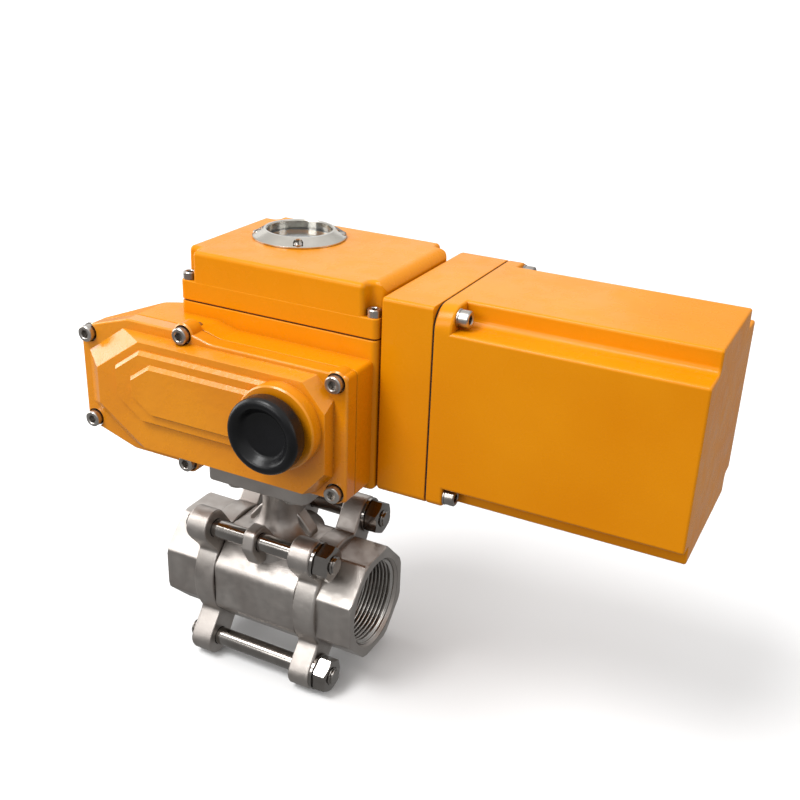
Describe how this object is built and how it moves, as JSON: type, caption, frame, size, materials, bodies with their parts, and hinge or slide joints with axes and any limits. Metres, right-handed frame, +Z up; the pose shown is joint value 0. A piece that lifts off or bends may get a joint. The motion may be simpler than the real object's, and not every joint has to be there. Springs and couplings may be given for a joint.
{
  "type": "motorized valve actuator",
  "caption": "Quarter-turn electric actuator with end battery box, override knob and sight window, on a threaded three-piece ball valve.",
  "frame": {"origin": "centre of the valve ball, on the pipe axis", "axes": "+X along the pipe towards the end box, +Z up the stem axis to the sight window, -Y towards the gear cover and its knob"},
  "size_m": [0.3111, 0.1519, 0.2406],
  "materials": {
    "cast_stainless": "cast and blasted stainless steel, machined on the seal faces",
    "polished_stainless": "turned stainless steel",
    "ptfe": "pressed PTFE",
    "yellow_paint": "orange-yellow powder coat on cast aluminium, semi-gloss, light orange peel",
    "bronze": "sintered bronze",
    "gear_steel": "hobbed steel, oiled",
    "motor_case": "black coated steel",
    "black_knob": "glossy moulded plastic",
    "seal_rubber": "matt nitrile",
    "zinc_plate": "satin sheet",
    "red_plastic": "moulded",
    "switch_body": "moulded",
    "circuit_board": "solder-masked board with parts",
    "green_plastic": "moulded",
    "indicator_plastic": "moulded",
    "window_glass": "polished",
    "bright_ring": "polished stainless steel",
    "cell_wrap": "shrink wrap"
  },
  "bodies": {
    "body": {"valve_body": "cast_stainless", "left_end_cap": "cast_stainless", "right_end_cap": "cast_stainless", "seat_rings": "ptfe", "body_seals": "ptfe", "tie_bolts": "polished_stainless", "stem_packing": "ptfe", "mounting_bolts": "polished_stainless", "housing": "yellow_paint", "output_bushes": "bronze", "worm_bushes": "bronze", "idler_pins": "polished_stainless", "gearmotor": "motor_case", "gear_cover": "yellow_paint", "gear_cover_gasket": "seal_rubber", "gear_cover_screws": "polished_stainless", "knob_seal": "seal_rubber", "chassis_plate": "zinc_plate", "standoffs": "polished_stainless", "spindle_bush": "bronze", "limit_switches": "switch_body", "switch_bracket": "polished_stainless", "control_board": "circuit_board", "terminal_block": "green_plastic", "top_cover": "yellow_paint", "cover_gasket": "seal_rubber", "cover_screws": "polished_stainless", "window_glass": "window_glass", "window_seal": "seal_rubber", "window_ring": "bright_ring", "ring_screws": "polished_stainless", "cable_glands": "switch_body", "adapter_plate": "yellow_paint", "adapter_gasket": "seal_rubber", "adapter_screws": "polished_stainless", "end_shell": "yellow_paint", "shell_gasket": "seal_rubber", "shell_screws": "polished_stainless", "battery_cells": "cell_wrap", "battery_frame": "zinc_plate", "charger_board": "circuit_board", "board_spacers": "polished_stainless"},
    "output": {"ball": "polished_stainless", "valve_stem": "polished_stainless", "stem_nut": "polished_stainless", "output_shaft": "gear_steel", "worm_wheel": "bronze", "output_gear": "bronze"},
    "worm": {"worm_shaft": "gear_steel", "drive_gear": "gear_steel", "override_knob": "black_knob"},
    "right_idler": {"right_idler": "gear_steel"},
    "left_idler": {"left_idler": "gear_steel"},
    "pinion": {"motor_pinion": "gear_steel"},
    "indicator": {"indicator_shaft": "polished_stainless", "indicator_gear": "bronze", "position_cams": "red_plastic", "indicator_disc": "indicator_plastic"},
    "lower_lever": {"lower_switch_lever": "polished_stainless"},
    "upper_lever": {"upper_switch_lever": "polished_stainless"}
  },
  "joints": [
    {"name": "output_turn", "type": "hinge", "parent": "body", "child": "output", "pos_m": [0, 0, 0.1], "axis": [0, 0, 1], "range_deg": [-90, 0]},
    {"name": "worm_turn", "type": "hinge", "parent": "body", "child": "worm", "pos_m": [0.0373, 0, 0.1267], "axis": [0, -1, 0], "range_deg": [-2880, 0]},
    {"name": "right_idler_turn", "type": "hinge", "parent": "body", "child": "right_idler", "pos_m": [0.0023, -0.046, 0.1267], "axis": [0, -1, 0], "range_deg": [0, 3420]},
    {"name": "left_idler_turn", "type": "hinge", "parent": "body", "child": "left_idler", "pos_m": [-0.0297, -0.046, 0.1267], "axis": [0, -1, 0], "range_deg": [-3420, 0]},
    {"name": "pinion_turn", "type": "hinge", "parent": "body", "child": "pinion", "pos_m": [-0.0557, -0.046, 0.1267], "axis": [0, -1, 0], "range_deg": [0, 5472]},
    {"name": "indicator_turn", "type": "hinge", "parent": "body", "child": "indicator", "pos_m": [-0.0062, 0.0273, 0.15], "axis": [0, 0, 1], "range_deg": [0, 90]},
    {"name": "lower_lever_press", "type": "hinge", "parent": "body", "child": "lower_lever", "pos_m": [0.0053, 0.0195, 0.1525], "axis": [0, 0, 1], "range_deg": [-3, 0], "stiffness_Nm_per_rad": 0.005, "springref_deg": 1.15},
    {"name": "upper_lever_press", "type": "hinge", "parent": "body", "child": "upper_lever", "pos_m": [0.0053, 0.0195, 0.1615], "axis": [0, 0, 1], "range_deg": [-3, 0], "stiffness_Nm_per_rad": 0.005, "springref_deg": 1.15}
  ],
  "couplings": [
    {"joint": "worm_turn", "follows": "output_turn", "ratio": 32},
    {"joint": "right_idler_turn", "follows": "output_turn", "ratio": -38},
    {"joint": "left_idler_turn", "follows": "output_turn", "ratio": 38},
    {"joint": "pinion_turn", "follows": "output_turn", "ratio": -60.8},
    {"joint": "indicator_turn", "follows": "output_turn", "ratio": -1}
  ]
}
